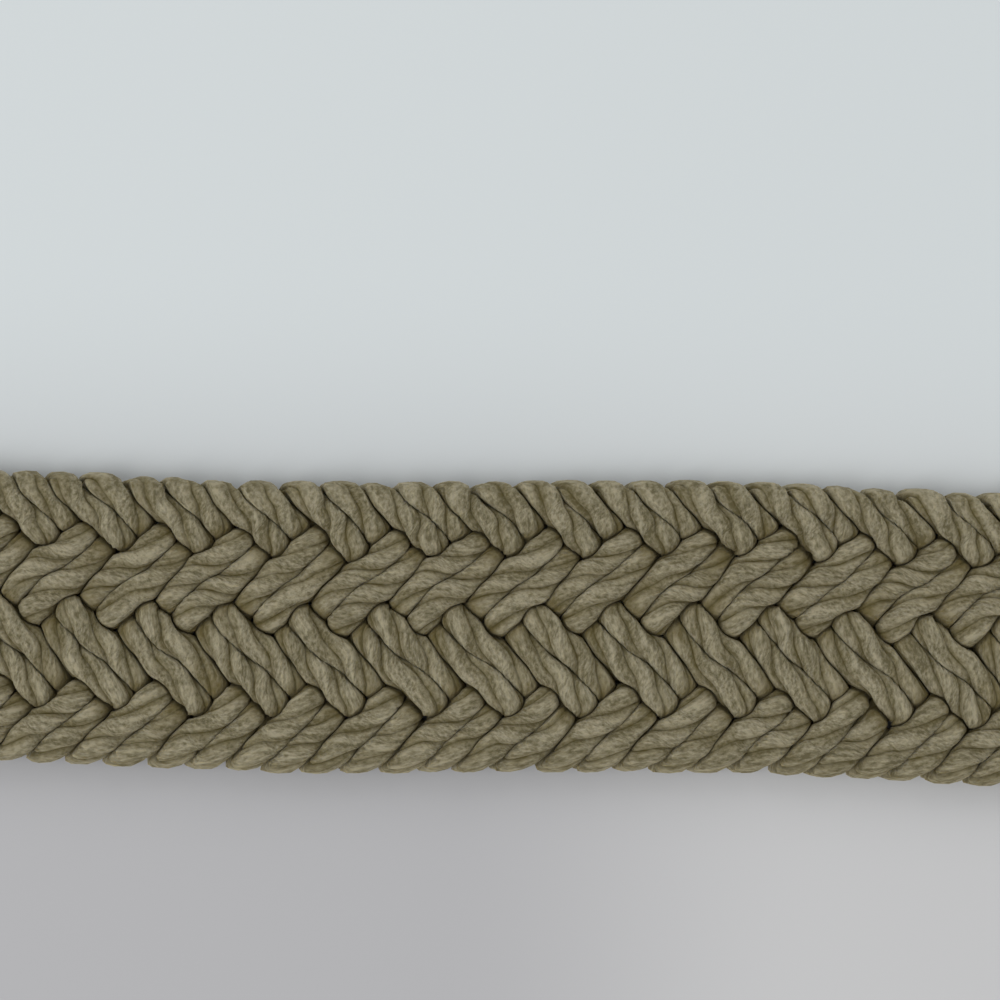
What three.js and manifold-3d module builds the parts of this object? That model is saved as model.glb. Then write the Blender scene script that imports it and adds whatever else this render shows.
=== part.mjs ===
// A braided stretch belt laid out flat, with plain leather end tabs and a plain frame buckle.
// Millimetres, +Z up. +X runs along the belt from the buckle to the tip and +Y runs across it.
// The origin is under the middle of the whole belt, on the surface that it lies on.
import * as THREE from "three";
import { mergeVertices } from "three/addons/utils/BufferGeometryUtils.js";
import Module from "manifold-3d";

const wasm = await Module();
wasm.setup();

// Driving dimensions of the braid: doubled strands, each crossing every other one from edge to edge
const STRAP_WIDTH = 35;
const BRAID_THICKNESS = 5.6;
const CORD_DIAMETER = 3.3;
const STRAND_COUNT = 7;
const STRAND_PITCH = 9.5; // along the belt, from one doubled strand to the next
const BRAID_PITCHES = 92;

// Driving dimensions of the leather tabs and the buckle
const LEATHER = 1.4;
const CLEARANCE = 0.3;
const TAB_WIDTH = 34;
const TIP_LAP = 26; // leather over the braid's end
const TIP_BEYOND = 34; // leather past the braid's end
const BUCKLE_LAP = 30;
const BAR_DIAMETER = 2.8;
const BAR_TO_BRAID = 7;
const FRAME_REACH = 34; // from the heel bar's centre to the front of the frame
const FRAME_WINDOW = 38;
const FRAME_ARM = 4;
const FRAME_FRONT = 5;
const FRAME_HEEL = 3; // how far the arms run past the heel bar
const FRAME_HEIGHT = 4.6;
const PRONG_WIDTH = 3.4;
const PRONG_HEIGHT = 2.4;

// Places along the belt, with the whole length centred on the origin
const BRAID_LENGTH = BRAID_PITCHES * STRAND_PITCH;
const TOTAL_LENGTH = FRAME_REACH + BAR_TO_BRAID + BRAID_LENGTH + TIP_BEYOND;
const FRAME_X = -TOTAL_LENGTH / 2;
const BAR_X = FRAME_X + FRAME_REACH;
const BRAID_START = BAR_X + BAR_TO_BRAID;
const BRAID_END = BRAID_START + BRAID_LENGTH;
const BUCKLE_TAB_EDGE = BRAID_START + BUCKLE_LAP;
const TIP_TAB_EDGE = BRAID_END - TIP_LAP;
const TIP_X = BRAID_END + TIP_BEYOND;

// Heights: both tabs and the braid lie on z = 0, and the pocket in a tab is as high as the heel bar needs
const POCKET = BAR_DIAMETER + 2 * CLEARANCE;
const PRESSED_BRAID = POCKET - 2 * CLEARANCE;
const TAB_THICKNESS = POCKET + 2 * LEATHER;
const TAB_CENTRE = TAB_THICKNESS / 2;

const MATERIALS = {
  braid: new THREE.MeshStandardMaterial({ color: 0x82795f, roughness: 0.95, metalness: 0 }),
  leather: new THREE.MeshStandardMaterial({ color: 0x4a3120, roughness: 0.6, metalness: 0 }),
  metal: new THREE.MeshStandardMaterial({ color: 0x8c8271, roughness: 0.35, metalness: 1 }),
};

const MERGE_DISTANCE = 1e-4;
const clamp = THREE.MathUtils.clamp;
const mix = THREE.MathUtils.lerp;
const smoothstep = THREE.MathUtils.smoothstep;

// A closed three.js geometry as a manifold-3d solid
function solidOf(geometry) {
  const bare = geometry.clone();
  bare.deleteAttribute("normal");
  bare.deleteAttribute("uv");
  const merged = mergeVertices(bare, MERGE_DISTANCE);
  return new wasm.Manifold(
    new wasm.Mesh({
      numProp: 3,
      vertProperties: merged.attributes.position.array,
      triVerts: new Uint32Array(merged.index.array),
    }),
  );
}

// A manifold-3d solid as a three.js geometry
function geometryOf(solid) {
  const mesh = solid.getMesh();
  const geometry = new THREE.BufferGeometry();
  geometry.setAttribute("position", new THREE.BufferAttribute(mesh.vertProperties, 3));
  geometry.setIndex(new THREE.BufferAttribute(mesh.triVerts, 1));
  geometry.computeVertexNormals();
  return geometry;
}

function piece(name, geometry, material) {
  const mesh = new THREE.Mesh(geometry, material);
  mesh.name = name;
  return mesh;
}

// A side profile drawn in x and z, given its width across the belt and centred on y = 0
function acrossBelt(shape, width, curveSegments) {
  const geometry = new THREE.ExtrudeGeometry(shape, { depth: width, bevelEnabled: false, curveSegments });
  geometry.rotateX(Math.PI / 2);
  geometry.translate(0, width / 2, 0);
  return geometry;
}

// The braid's herringbone rows, counted in strands crossed from the +Y edge. A strand passes over in one
// row and under in the next, and the lean of the strands that show changes with each row.
const ROW_ENDS = [0, 1.5, 3.5, 5.5, 7];
const STEP_ACROSS = (STRAP_WIDTH - CORD_DIAMETER) / STRAND_COUNT;
const STEP_ALONG = STRAND_PITCH / 2;
// Lines that run along each face: the row's ends are low, and ridges and grooves alternate between them
const FACE_LINE_STEPS = [0.6, 1.5, 2.1, 2.9, 3.5, 4.1, 4.9, 5.5, 6.4];
const GROOVE_HEIGHT = 0.74; // as a share of the ridge's height above the middle of the braid
const ROW_END_HEIGHT = 0.76;
const EDGE_NOTCH = 0.8; // how far the edge draws in between two turning strands
const SQUARED_STATIONS = 3; // stations at each end over which the slanting lines turn square
const SWELL_START = STEP_ALONG; // past a tab's edge, where the pressed braid begins to swell
const SWELL_END = 4 * STEP_ALONG;

// How far along the belt a strand that shows in the top face has moved when it has crossed that many others
function leanAt(step) {
  let along = 0;
  for (let row = 0; row < ROW_ENDS.length - 1; row++) {
    const crossed = clamp(step, ROW_ENDS[row], ROW_ENDS[row + 1]) - ROW_ENDS[row];
    along += (row % 2 ? -crossed : crossed) * STEP_ALONG;
  }
  return along;
}

// 1 where the braid is pressed flat inside a tab, 0 where it lies free
function pressedAt(x) {
  const swollen = smoothstep(x, BUCKLE_TAB_EDGE + SWELL_START, BUCKLE_TAB_EDGE + SWELL_END);
  const pressedAgain = smoothstep(x, TIP_TAB_EDGE - SWELL_END, TIP_TAB_EDGE - SWELL_START);
  return 1 - swollen + pressedAgain;
}

// One corner of the braid's skin. face is 1 on top, -1 underneath and 0 at an edge.
function braidPoint(station, step, face) {
  const row = ROW_ENDS.findIndex((end, i) => step > end && step < ROW_ENDS[i + 1]);
  const atEdge = face === 0;
  const ridgeIsEven = atEdge ? step < STRAND_COUNT / 2 : row % 2 === 0;
  const isRidge = (station % 2 === 0) === ridgeIsEven;
  const fromEnd = Math.min(station, 2 * BRAID_PITCHES - station);
  const lean = face * leanAt(step) * clamp(fromEnd / SQUARED_STATIONS, 0, 1);
  const x = BRAID_START + station * STEP_ALONG + lean;
  const pressed = pressedAt(x);

  const centreline = (STRAP_WIDTH - CORD_DIAMETER) / 2 - step * STEP_ACROSS;
  const edge = (Math.sign(centreline) * (STRAP_WIDTH - (isRidge ? 0 : EDGE_NOTCH) * (1 - pressed))) / 2;
  const share = row < 0 ? ROW_END_HEIGHT : isRidge ? 1 : GROOVE_HEIGHT;
  const halfHeight = mix((BRAID_THICKNESS / 2) * share, PRESSED_BRAID / 2, pressed);
  const middle = mix(BRAID_THICKNESS / 2, TAB_CENTRE, pressed);
  return [x, atEdge ? edge : centreline, middle + face * halfHeight];
}

// The braid as one skin: rings of points round the band, joined along the lines that the strands follow
function braidGeometry() {
  const ringLines = [
    { step: 0, face: 0 },
    ...FACE_LINE_STEPS.map((step) => ({ step, face: 1 })),
    { step: STRAND_COUNT, face: 0 },
    ...[...FACE_LINE_STEPS].reverse().map((step) => ({ step, face: -1 })),
  ];
  const around = ringLines.length;
  const stations = 2 * BRAID_PITCHES;
  const positions = [];
  for (let station = 0; station <= stations; station++)
    for (const line of ringLines) positions.push(...braidPoint(station, line.step, line.face));

  const corner = (i) => new THREE.Vector3().fromArray(positions, 3 * i);
  const index = [];
  for (let station = 0; station < stations; station++)
    for (let i = 0; i < around; i++) {
      const a = station * around + i;
      const b = station * around + ((i + 1) % around);
      const [nextA, nextB] = [a + around, b + around];
      // The shorter diagonal keeps the facets along the slanting ridges
      const cutFromB = corner(b).distanceTo(corner(nextA)) < corner(a).distanceTo(corner(nextB));
      index.push(...(cutFromB ? [a, b, nextA, b, nextB, nextA] : [a, b, nextB, a, nextB, nextA]));
    }
  for (const [first, flip] of [[0, true], [stations * around, false]])
    for (let i = 1; i < around - 1; i++)
      index.push(first, ...(flip ? [first + i + 1, first + i] : [first + i, first + i + 1]));

  const geometry = new THREE.BufferGeometry();
  geometry.setAttribute("position", new THREE.Float32BufferAttribute(positions, 3));
  geometry.setIndex(index);
  geometry.computeVertexNormals();
  return geometry;
}

// The tip: two layers of leather over the braid's end, brought together past it and cut to a soft point
const TIP_THICKNESS = 2 * LEATHER + CLEARANCE;
const TIP_SLOPE = 10;
const TIP_POINT = 20; // length of the curved point
const TIP_FULLNESS = 0.72; // the curve's control points stand this far out, as a share of the half width
const TIP_BLUNTNESS = 1; // and this far back from the very tip
function tipTabGeometry() {
  const profile = new THREE.Shape();
  profile.moveTo(TIP_TAB_EDGE, 0);
  profile.lineTo(TIP_X, 0);
  profile.lineTo(TIP_X, TIP_THICKNESS);
  profile.lineTo(BRAID_END + TIP_SLOPE, TIP_THICKNESS);
  profile.lineTo(BRAID_END, TAB_THICKNESS);
  profile.lineTo(TIP_TAB_EDGE, TAB_THICKNESS);
  profile.lineTo(TIP_TAB_EDGE, TAB_THICKNESS - LEATHER);
  profile.lineTo(BRAID_END + CLEARANCE, TAB_THICKNESS - LEATHER);
  profile.lineTo(BRAID_END + CLEARANCE, LEATHER);
  profile.lineTo(TIP_TAB_EDGE, LEATHER);
  profile.closePath();
  const layers = solidOf(acrossBelt(profile, TAB_WIDTH, 1));

  const outline = new THREE.Shape();
  const half = TAB_WIDTH / 2;
  const shoulder = TIP_X - TIP_POINT;
  const controlX = TIP_X - TIP_BLUNTNESS;
  const controlY = half * TIP_FULLNESS;
  outline.moveTo(TIP_TAB_EDGE, -half);
  outline.lineTo(shoulder, -half);
  outline.quadraticCurveTo(controlX, -controlY, TIP_X, 0);
  outline.quadraticCurveTo(controlX, controlY, shoulder, half);
  outline.lineTo(TIP_TAB_EDGE, half);
  outline.closePath();
  const cutter = new THREE.ExtrudeGeometry(outline, {
    depth: 3 * TAB_THICKNESS,
    bevelEnabled: false,
    curveSegments: 10,
  });
  cutter.translate(0, 0, -TAB_THICKNESS);
  return geometryOf(layers.intersect(solidOf(cutter)));
}

// The buckle tab: one strip folded round the heel bar and lapped over the braid, with a slot for the prong
const PRONG_ROOM = 1; // on each side of the prong
const PRONG_SLOT = PRONG_WIDTH + 2 * PRONG_ROOM;
const SLOT_LENGTH = 5; // past the heel bar's centre
const FOLD_SEGMENTS = 12;
function buckleTabGeometry() {
  const outer = TAB_THICKNESS / 2;
  const inner = POCKET / 2;
  const profile = new THREE.Shape();
  profile.moveTo(BUCKLE_TAB_EDGE, TAB_THICKNESS);
  profile.lineTo(BAR_X, TAB_THICKNESS);
  profile.absarc(BAR_X, TAB_CENTRE, outer, Math.PI / 2, (3 * Math.PI) / 2, false);
  profile.lineTo(BUCKLE_TAB_EDGE, 0);
  profile.lineTo(BUCKLE_TAB_EDGE, LEATHER);
  profile.lineTo(BAR_X, LEATHER);
  profile.absarc(BAR_X, TAB_CENTRE, inner, (3 * Math.PI) / 2, Math.PI / 2, true);
  profile.lineTo(BUCKLE_TAB_EDGE, TAB_THICKNESS - LEATHER);
  profile.closePath();
  const strip = solidOf(acrossBelt(profile, TAB_WIDTH, FOLD_SEGMENTS));
  const slotLength = SLOT_LENGTH + TAB_THICKNESS;
  const slot = new THREE.BoxGeometry(slotLength, PRONG_SLOT, 3 * TAB_THICKNESS);
  slot.translate(BAR_X + SLOT_LENGTH - slotLength / 2, 0, TAB_CENTRE);
  return geometryOf(strip.subtract(solidOf(slot)));
}

// The buckle: a U-shaped frame, its heel bar and its prong in one plain piece
const FRAME_BEVEL = 1;
const FRAME_CORNER = 6;
const INNER_CORNER = 3;
const ARM_TIP = 1; // cut off the outer corner of each arm's end
const BAR_SIDES = 14;
function frameSolid() {
  const halfOuter = FRAME_WINDOW / 2 + FRAME_ARM - FRAME_BEVEL;
  const halfInner = FRAME_WINDOW / 2 + FRAME_BEVEL;
  const front = FRAME_X + FRAME_BEVEL;
  const inside = FRAME_X + FRAME_FRONT - FRAME_BEVEL;
  const heel = BAR_X + FRAME_HEEL - FRAME_BEVEL;
  const outline = new THREE.Shape();
  outline.moveTo(heel, halfInner);
  outline.lineTo(inside + INNER_CORNER, halfInner);
  outline.quadraticCurveTo(inside, halfInner, inside, halfInner - INNER_CORNER);
  outline.lineTo(inside, -halfInner + INNER_CORNER);
  outline.quadraticCurveTo(inside, -halfInner, inside + INNER_CORNER, -halfInner);
  outline.lineTo(heel, -halfInner);
  outline.lineTo(heel, -halfOuter + ARM_TIP);
  outline.lineTo(heel - ARM_TIP, -halfOuter);
  outline.lineTo(front + FRAME_CORNER, -halfOuter);
  outline.quadraticCurveTo(front, -halfOuter, front, -halfOuter + FRAME_CORNER);
  outline.lineTo(front, halfOuter - FRAME_CORNER);
  outline.quadraticCurveTo(front, halfOuter, front + FRAME_CORNER, halfOuter);
  outline.lineTo(heel - ARM_TIP, halfOuter);
  outline.lineTo(heel, halfOuter - ARM_TIP);
  outline.closePath();
  const geometry = new THREE.ExtrudeGeometry(outline, {
    depth: FRAME_HEIGHT - 2 * FRAME_BEVEL,
    bevelEnabled: true,
    bevelThickness: FRAME_BEVEL,
    bevelSize: FRAME_BEVEL,
    bevelSegments: 2,
    curveSegments: 6,
  });
  geometry.translate(0, 0, TAB_CENTRE - FRAME_HEIGHT / 2 + FRAME_BEVEL);
  return solidOf(geometry);
}

const PRONG_SUNK = 0.4; // how deep the prong lies in the notch of the front bar
const PRONG_WALL = 1.2; // round the heel bar
const PRONG_SHORT = 0.5; // its tip stops that far behind the front of the frame
const PRONG_CURVE_SEGMENTS = 6;
function prongSolid() {
  const frameTop = TAB_CENTRE + FRAME_HEIGHT / 2;
  const rootRadius = BAR_DIAMETER / 2 + PRONG_WALL;
  const tipX = FRAME_X + PRONG_SHORT;
  const tipBottom = frameTop - PRONG_SUNK;
  const profile = new THREE.Shape();
  profile.moveTo(BAR_X + rootRadius, TAB_CENTRE);
  profile.absarc(BAR_X, TAB_CENTRE, rootRadius, 0, Math.PI / 2, false);
  profile.lineTo(tipX + FRAME_FRONT, tipBottom + PRONG_HEIGHT);
  profile.quadraticCurveTo(tipX, tipBottom + PRONG_HEIGHT, tipX, tipBottom);
  profile.lineTo(tipX + FRAME_FRONT, tipBottom);
  profile.lineTo(BAR_X - rootRadius, TAB_CENTRE);
  profile.absarc(BAR_X, TAB_CENTRE, rootRadius, Math.PI, 2 * Math.PI, false);
  profile.closePath();
  return solidOf(acrossBelt(profile, PRONG_WIDTH, PRONG_CURVE_SEGMENTS));
}

function buckleGeometry() {
  const bar = new THREE.CylinderGeometry(
    BAR_DIAMETER / 2,
    BAR_DIAMETER / 2,
    FRAME_WINDOW + FRAME_ARM,
    BAR_SIDES,
  );
  bar.translate(BAR_X, 0, TAB_CENTRE);
  return geometryOf(frameSolid().add(solidOf(bar)).add(prongSolid()));
}

const belt = new THREE.Group();
belt.add(
  piece("braid", braidGeometry(), MATERIALS.braid),
  piece("tip_tab", tipTabGeometry(), MATERIALS.leather),
  piece("buckle_tab", buckleTabGeometry(), MATERIALS.leather),
  piece("buckle", buckleGeometry(), MATERIALS.metal),
);

export default belt;
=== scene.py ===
# A braided stretch belt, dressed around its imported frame: every twisted cord of the braid, the leather
# tabs with their stitching and the buckle. Metres, +Z up, in the frame's own axes.
import math

import bmesh
import bpy
import numpy as np
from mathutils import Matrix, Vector


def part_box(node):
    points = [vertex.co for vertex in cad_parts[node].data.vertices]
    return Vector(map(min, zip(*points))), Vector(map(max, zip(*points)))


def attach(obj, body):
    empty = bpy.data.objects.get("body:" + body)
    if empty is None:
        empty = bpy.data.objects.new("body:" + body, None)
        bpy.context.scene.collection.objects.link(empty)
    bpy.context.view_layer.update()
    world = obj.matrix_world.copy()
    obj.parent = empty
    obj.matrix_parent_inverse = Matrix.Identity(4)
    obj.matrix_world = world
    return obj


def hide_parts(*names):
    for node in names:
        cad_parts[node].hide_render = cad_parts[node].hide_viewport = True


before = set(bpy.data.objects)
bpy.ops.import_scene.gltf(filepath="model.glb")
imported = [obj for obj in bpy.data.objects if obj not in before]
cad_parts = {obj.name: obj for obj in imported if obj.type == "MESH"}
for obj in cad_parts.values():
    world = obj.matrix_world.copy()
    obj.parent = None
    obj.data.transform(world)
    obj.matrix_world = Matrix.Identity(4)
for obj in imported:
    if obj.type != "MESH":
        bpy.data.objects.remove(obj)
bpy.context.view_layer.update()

MM = 0.001
UP = np.array([0.0, 0.0, 1.0])

# The braid: seven doubled strands, in phase with the braid's solid
STRANDS = 7
CORDS_IN_STRAND = 2
PITCH = 9.5 * MM
CORD_WIDTH = 3.3 * MM
CORD_FLATNESS = 0.85  # a cord's thickness over its width
LAY = 14.7 * MM  # length of one full turn of the plies
PLIES = 3
braid_low, braid_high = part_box("braid")
BRAID_MIDDLE = (braid_low.z + braid_high.z) / 2
HALF_WIDTH = (braid_high.y - braid_low.y) / 2
TURN_ROUNDING = 0.35 * MM  # what the turn round an edge loses when its path is smoothed
EDGE_Y = HALF_WIDTH - CORD_WIDTH / 2 + TURN_ROUNDING
TRAVERSE = STRANDS * PITCH / 2  # along the belt, while a strand crosses it from edge to edge
PERIOD = 2 * TRAVERSE

VIEW_X = -2.0 * MM  # where the photograph looks

# Places along the belt, and the sizes of the tabs and the buckle, as in their solids
BUCKLE_TAB_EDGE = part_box("buckle_tab")[1].x
TIP_TAB_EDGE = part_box("tip_tab")[0].x
TIP_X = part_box("tip_tab")[1].x
TAB_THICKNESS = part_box("tip_tab")[1].z
HALF_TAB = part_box("tip_tab")[1].y
LEATHER = 1.4 * MM
CLEARANCE = 0.3 * MM
FRAME_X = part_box("buckle")[0].x
HALF_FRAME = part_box("buckle")[1].y
FRAME_HEEL = 3 * MM
BAR_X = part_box("buckle")[1].x - FRAME_HEEL


def smoothstep(low, high, value):
    share = np.clip((value - low) / (high - low), 0, 1)
    return share * share * (3 - 2 * share)


# The path of one strand's two cords from the +Y edge to the -Y edge. A strand passes over in one row and
# under in the next. The strands that it crosses are counted from the +Y edge, where it comes up to the
# front, and each cord goes down or up again after it has crossed this many.
TURN_STEPS = ((1.75, 3.75, 5.75), (1.25, 3.25, 5.25))
# How gradually a cord changes sides within the braid and at its edge, in crossed strands
TURN_LENGTH = 0.46
EDGE_TURN_LENGTH = 0.2
EDGE_STEEPNESS = 0.3  # the share of its way along the belt that a cord loses where it turns round an edge
EDGE_SHARE = 0.05  # how much of the traverse that is
HALF_SAMPLES = 56
RELAX_STEPS = 150
CONTACT = 3.1 * MM  # cords closer than this push each other apart
PUSH_SHARE = 0.35
LONGEST_MOVE = 0.2 * MM
SMOOTHING = 0.25
MEMORY = 0.06  # how strongly a cord is held to its first path across and along the belt
EDGE_MEMORY = 0.6  # and to all of it where it turns round an edge
EDGE_MEMORY_SHARE = 0.045
LAYER_HEIGHT = 1.4 * MM  # a cord's centre over or under the middle of the braid
OWN_SAMPLES = 7  # samples of a cord that are its own neighbours
LEAST_DISTANCE = 1e-9  # so that a sample can be measured against itself
GLIDE = np.array([1.0, -1.0, 1.0])


def share_along(share):
    """A cord's way along the belt, as a share of the traverse. It runs steeper near both edges."""
    lost = EDGE_STEEPNESS * EDGE_SHARE
    whole = np.tanh(1 / EDGE_SHARE)
    left = np.tanh(share / EDGE_SHARE) + whole - np.tanh((1 - share) / EDGE_SHARE)
    return (share - lost * left) / (1 - 2 * lost * whole)


def first_paths():
    share = (np.arange(HALF_SAMPLES) + 0.5) / HALF_SAMPLES
    crossed = STRANDS * share
    cords = []
    for cord, (down, up, down_again) in enumerate(TURN_STEPS):
        side = np.tanh(crossed / EDGE_TURN_LENGTH)
        side -= 1 + np.tanh((crossed - down) / TURN_LENGTH)
        side += 1 + np.tanh((crossed - up) / TURN_LENGTH)
        side -= 1 + np.tanh((crossed - down_again) / TURN_LENGTH)
        side += 1 + np.tanh((crossed - STRANDS) / EDGE_TURN_LENGTH)
        x = TRAVERSE * share_along(share) + (cord - 0.5) * PITCH / 2
        cords.append(np.stack([x, EDGE_Y * (1 - 2 * share), LAYER_HEIGHT * side], axis=1))
    return np.array(cords)


def whole_period(half):
    """The way back to the +Y edge is the way out mirrored and moved on by one traverse."""
    return np.concatenate([half, half * GLIDE + [TRAVERSE, 0, 0]], axis=1)


def relaxed_paths():
    """Pushes the cords apart, and pulls each one smooth, until they fit round each other."""
    half = first_paths()
    first = half.copy()
    samples = 2 * HALF_SAMPLES
    from_edge = (np.arange(HALF_SAMPLES) + 0.5) / HALF_SAMPLES
    from_edge = np.minimum(from_edge, 1 - from_edge)
    at_edge = EDGE_MEMORY * np.exp(-((from_edge / EDGE_MEMORY_SHARE) ** 2))
    memory = at_edge[:, None] + [MEMORY, MEMORY, 0]
    turns = np.arange(-STRANDS, STRANDS // 2 + 1)
    shift = np.zeros((len(turns), 1, 1, 3))
    shift[:, 0, 0, 0] = turns * PITCH
    own = np.zeros((CORDS_IN_STRAND, HALF_SAMPLES, len(turns), CORDS_IN_STRAND, samples), bool)
    for place, turn in enumerate(turns):
        if turn % STRANDS == 0:
            other = np.arange(samples) + samples * (turn // STRANDS)
            close = np.abs(np.arange(HALF_SAMPLES)[:, None] - other) < OWN_SAMPLES
            for cord in range(CORDS_IN_STRAND):
                own[cord, :, place, cord] = close
    own = own.reshape(CORDS_IN_STRAND * HALF_SAMPLES, -1)
    for _ in range(RELAX_STEPS):
        images = (whole_period(half)[None] + shift).reshape(-1, 3)
        apart = (half.reshape(-1, 1, 3) - images) / [1, 1, CORD_FLATNESS]
        distance = np.linalg.norm(apart, axis=2) + LEAST_DISTANCE
        push = np.where(own, 0, np.clip(CONTACT - distance, 0, None))
        touching = np.maximum((push > 0).sum(1, keepdims=True), 1)
        move = (apart / distance[..., None] * push[..., None]).sum(1) / np.sqrt(touching) * PUSH_SHARE
        move = np.clip(move * [1, 1, CORD_FLATNESS], -LONGEST_MOVE, LONGEST_MOVE)
        half = half + move.reshape(half.shape)
        before = half[:, -1:] * GLIDE - [TRAVERSE, 0, 0]
        after = half[:, :1] * GLIDE + [TRAVERSE, 0, 0]
        closed = np.concatenate([before, half, after], axis=1)
        half += SMOOTHING * ((closed[:, :-2] + closed[:, 2:]) / 2 - half)
        half += memory * (first - half)
        half[..., 2] = np.clip(half[..., 2], -LAYER_HEIGHT, LAYER_HEIGHT)
        half[..., 0] += TRAVERSE / 2 - half[..., 0].mean()
    return whole_period(half)


# Rings of each cord. Every ring is kept where the photograph looks, and every third one elsewhere.
RINGS = 224  # in one period
HARMONICS = 26  # waves of a path that are kept
FINE_REACH = 0.072  # how far from there every ring is kept
COARSE_STEP = 3
END_GAP = 0.4 * MM


def resampled(paths, samples):
    """The periodic paths at evenly spaced samples, with only their smooth part kept."""
    count = paths.shape[1]
    trend = PERIOD / count
    level = paths.copy()
    level[..., 0] -= np.arange(count) * trend
    waves = np.fft.rfft(level, axis=1)
    waves[:, HARMONICS:] = 0
    full = np.zeros((paths.shape[0], samples // 2 + 1, 3), complex)
    full[:, :HARMONICS] = waves[:, :HARMONICS]
    smooth = np.fft.irfft(full, n=samples, axis=1) * (samples / count)
    smooth[..., 0] += np.arange(samples) * PERIOD / samples
    return smooth


WANDER_WAVES = 5
WANDER_FREQUENCIES = (0.5, 1.6)  # from and to, in waves to a wavelength


def wander(rng, along, wavelength, size):
    """A smooth irregularity of about that size along a cord."""
    frequency = rng.uniform(*WANDER_FREQUENCIES, WANDER_WAVES) / wavelength
    phase = rng.uniform(0, 2 * np.pi, WANDER_WAVES)
    waves = np.sin(2 * np.pi * np.outer(along, frequency) + phase).sum(1)
    return size * waves / math.sqrt(WANDER_WAVES / 2)


# How unevenly the strands and their cords lie
STRAND_WANDER = 0.22 * MM
STRAND_WANDER_LENGTH = 34 * MM
CORD_WANDER = (0.16 * MM, 0.16 * MM, 0.06 * MM)
CORD_WANDER_LENGTH = 12 * MM
RADIUS_WANDER = 0.03
TWIST_WANDER = 0.35
TWIST_WANDER_LENGTH = 22 * MM
# The first random seed for the strands, for the cords' paths and for their twist
STRAND_SEED = 50
CORD_SEED = 100
TWIST_SEED = 500


def cord_lines(period_paths):
    """Every cord's centreline over the whole belt, with its unevenness: cords, rings, xyz."""
    periods = math.ceil((braid_high.x - braid_low.x) / PERIOD) + 2
    along = np.arange(periods * RINGS) * (PERIOD / RINGS)
    lines = []
    for strand in range(STRANDS):
        strand_rng = np.random.default_rng(STRAND_SEED + strand)
        strand_bend = wander(strand_rng, along, STRAND_WANDER_LENGTH, STRAND_WANDER)
        for cord in range(CORDS_IN_STRAND):
            rng = np.random.default_rng(CORD_SEED + strand * CORDS_IN_STRAND + cord)
            line = np.tile(period_paths[cord], (periods, 1))
            line[:, 0] += np.repeat(np.arange(periods) - 1, RINGS) * PERIOD
            line[:, 0] += braid_low.x + strand * PITCH + strand_bend
            for axis, size in enumerate(CORD_WANDER):
                line[:, axis] += wander(rng, along, CORD_WANDER_LENGTH, size)
            line[:, 1] = np.clip(line[:, 1], -EDGE_Y, EDGE_Y)
            lines.append(line)
    return np.array(lines)


# The cross-section of a cord: three plies that meet in grooves, cut flat where it presses on its neighbours
BASE_RADIUS = 2.06 * MM
PLY_OFFSET = 0.26 * MM
PLY_RADIUS = BASE_RADIUS - PLY_OFFSET
# Points across a ply, as shares of it
PLY_STOPS = np.array([0, 0.05, 0.13, 0.29, 0.5, 0.71, 0.87, 0.95])
AROUND = PLIES * len(PLY_STOPS)
ROUND_SHARES = ((np.arange(PLIES)[:, None] + PLY_STOPS) / PLIES).ravel()  # each point's way round the cord
CREASE = 0.75 * MM  # how much deeper the bottom of a groove is
CREASE_WIDTH = 0.125
PAIR_GAP = 0.01 * MM
STRAND_GAP = 0.02 * MM
COVERING = 0.35  # how far the cord that lies further out spreads over the one that dives under it
EDGE_SPREAD = np.array([0.5, 0.15, 0])  # how much wider a cord is where it turns round an edge
EDGE_SPREAD_REACH = 4.5 * MM
EDGE_OVERHANG = 0.5 * MM  # how far out of the braid's solid sides the softest points may reach
NEIGHBOUR_REACH = 2.45 * BASE_RADIUS
STRAND_BLEND_POWER = 6  # a lower power rounds a cord off more where it meets a neighbour
PAIR_BLEND_POWER = 16
EDGE_BLEND_POWER = 9
# A cord swells where it passes from one face to the other, and fills the room between its neighbours
DIVE_SWELL = 0.42
DIVE_HIGH = 1.32 * MM
DIVE_LOW = 0.7 * MM
INNER_SWELL = 1.0  # how much thicker it may be on the side that faces the middle of the braid
FLOOR_GAP = 0.05 * MM
# A vertex this far from the middle of the braid's thickness isn't sunk, or is wholly. A sunk place gets
# painted shade.
SUNK_HIGH = 2.3 * MM
SUNK_LOW = 0.9 * MM
# A vertex isn't pressed, or is wholly, where its neighbours leave it this share of its radius. A pressed
# place gets painted shade.
PRESSED_NONE = 1.35
PRESSED_WHOLE = 0.75
STRETCH = np.array([1, 1, 1 / CORD_FLATNESS])  # makes a flattened cord round again
NEIGHBOUR_STEP = 2  # rings between the places where a neighbour is looked for
OWN_RINGS = RINGS // 14  # rings of a cord that are its own neighbours
LEAST_FACING = 0.05  # a direction that faces a neighbour less than this counts as this
LEAST_RADIUS = 0.2 * BASE_RADIUS  # what the floor always leaves of a cord
FAR = 1.0  # too far off to press on a cord


def ply_section():
    """The radius of the cord at each point round it, and how deep that point lies in a groove, 0 to 1."""
    angle = (PLY_STOPS - 0.5) * 2 * np.pi / PLIES
    radius = PLY_OFFSET * np.cos(angle) + np.sqrt(PLY_RADIUS**2 - (PLY_OFFSET * np.sin(angle)) ** 2)
    groove = np.exp(-np.minimum(PLY_STOPS, 1 - PLY_STOPS) / CREASE_WIDTH)
    radius -= CREASE * groove
    return np.tile(radius, PLIES), np.tile(groove, PLIES)


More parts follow.
